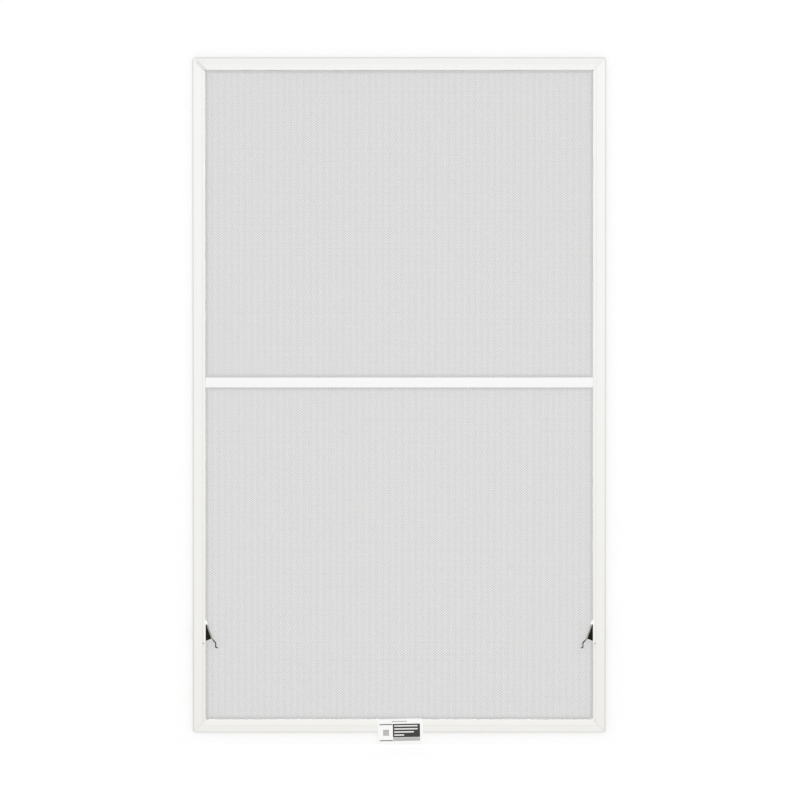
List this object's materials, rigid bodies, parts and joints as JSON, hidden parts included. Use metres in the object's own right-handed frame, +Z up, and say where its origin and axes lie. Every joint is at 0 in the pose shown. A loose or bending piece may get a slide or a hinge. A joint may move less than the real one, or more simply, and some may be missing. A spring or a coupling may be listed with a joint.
{
  "type": "window insect screen",
  "caption": "Full-height window insect screen: mitred white lip frame with a crossbar, fine grey screen cloth and sprung black release levers low on the side rails.",
  "frame": {"origin": "middle of the underside of the bottom rail's box, where the screen sits on the sill", "axes": "+X to the right seen from the room, +Y from the room to the outside, +Z up"},
  "size_m": [0.759, 0.0115, 1.2618],
  "materials": {
    "white_enamel": "satin white baked enamel on roll-formed aluminium",
    "white_nylon": "white moulded nylon",
    "screen_cloth": "fine grey vinyl-coated glass-fibre screen cloth",
    "spline_vinyl": "grey extruded vinyl bead",
    "black_acetal": "black moulded acetal",
    "spring_steel": "bright spring steel",
    "tag_film": "white printed film tag"
  },
  "bodies": {
    "frame": {"top_rail": "white_enamel", "bottom_rail": "white_enamel", "left_rail": "white_enamel", "right_rail": "white_enamel", "crossbar": "white_enamel", "insect_mesh": "screen_cloth", "spline": "spline_vinyl", "label": "tag_film", "top_left_key": "white_nylon", "top_right_key": "white_nylon", "bottom_left_key": "white_nylon", "bottom_right_key": "white_nylon", "left_crossbar_plug": "white_nylon", "left_latch_housing": "white_nylon", "left_pivot_pin": "spring_steel", "left_return_spring": "spring_steel", "right_crossbar_plug": "white_nylon", "right_latch_housing": "white_nylon", "right_pivot_pin": "spring_steel", "right_return_spring": "spring_steel"},
    "left_latch": {"left_latch_lever": "black_acetal"},
    "right_latch": {"right_latch_lever": "black_acetal"}
  },
  "joints": [
    {"name": "left_latch_swing", "type": "hinge", "parent": "frame", "child": "left_latch", "pos_m": [-0.3553, -0.00265, 0.1948], "axis": [0, -1, 0], "range_deg": [0, 16], "stiffness_Nm_per_rad": 0.06, "springref_deg": -20.05, "deforming": ["left_return_spring"]},
    {"name": "right_latch_swing", "type": "hinge", "parent": "frame", "child": "right_latch", "pos_m": [0.3553, -0.00265, 0.1948], "axis": [0, 1, 0], "range_deg": [0, 16], "stiffness_Nm_per_rad": 0.06, "springref_deg": -20.05, "deforming": ["right_return_spring"]}
  ]
}
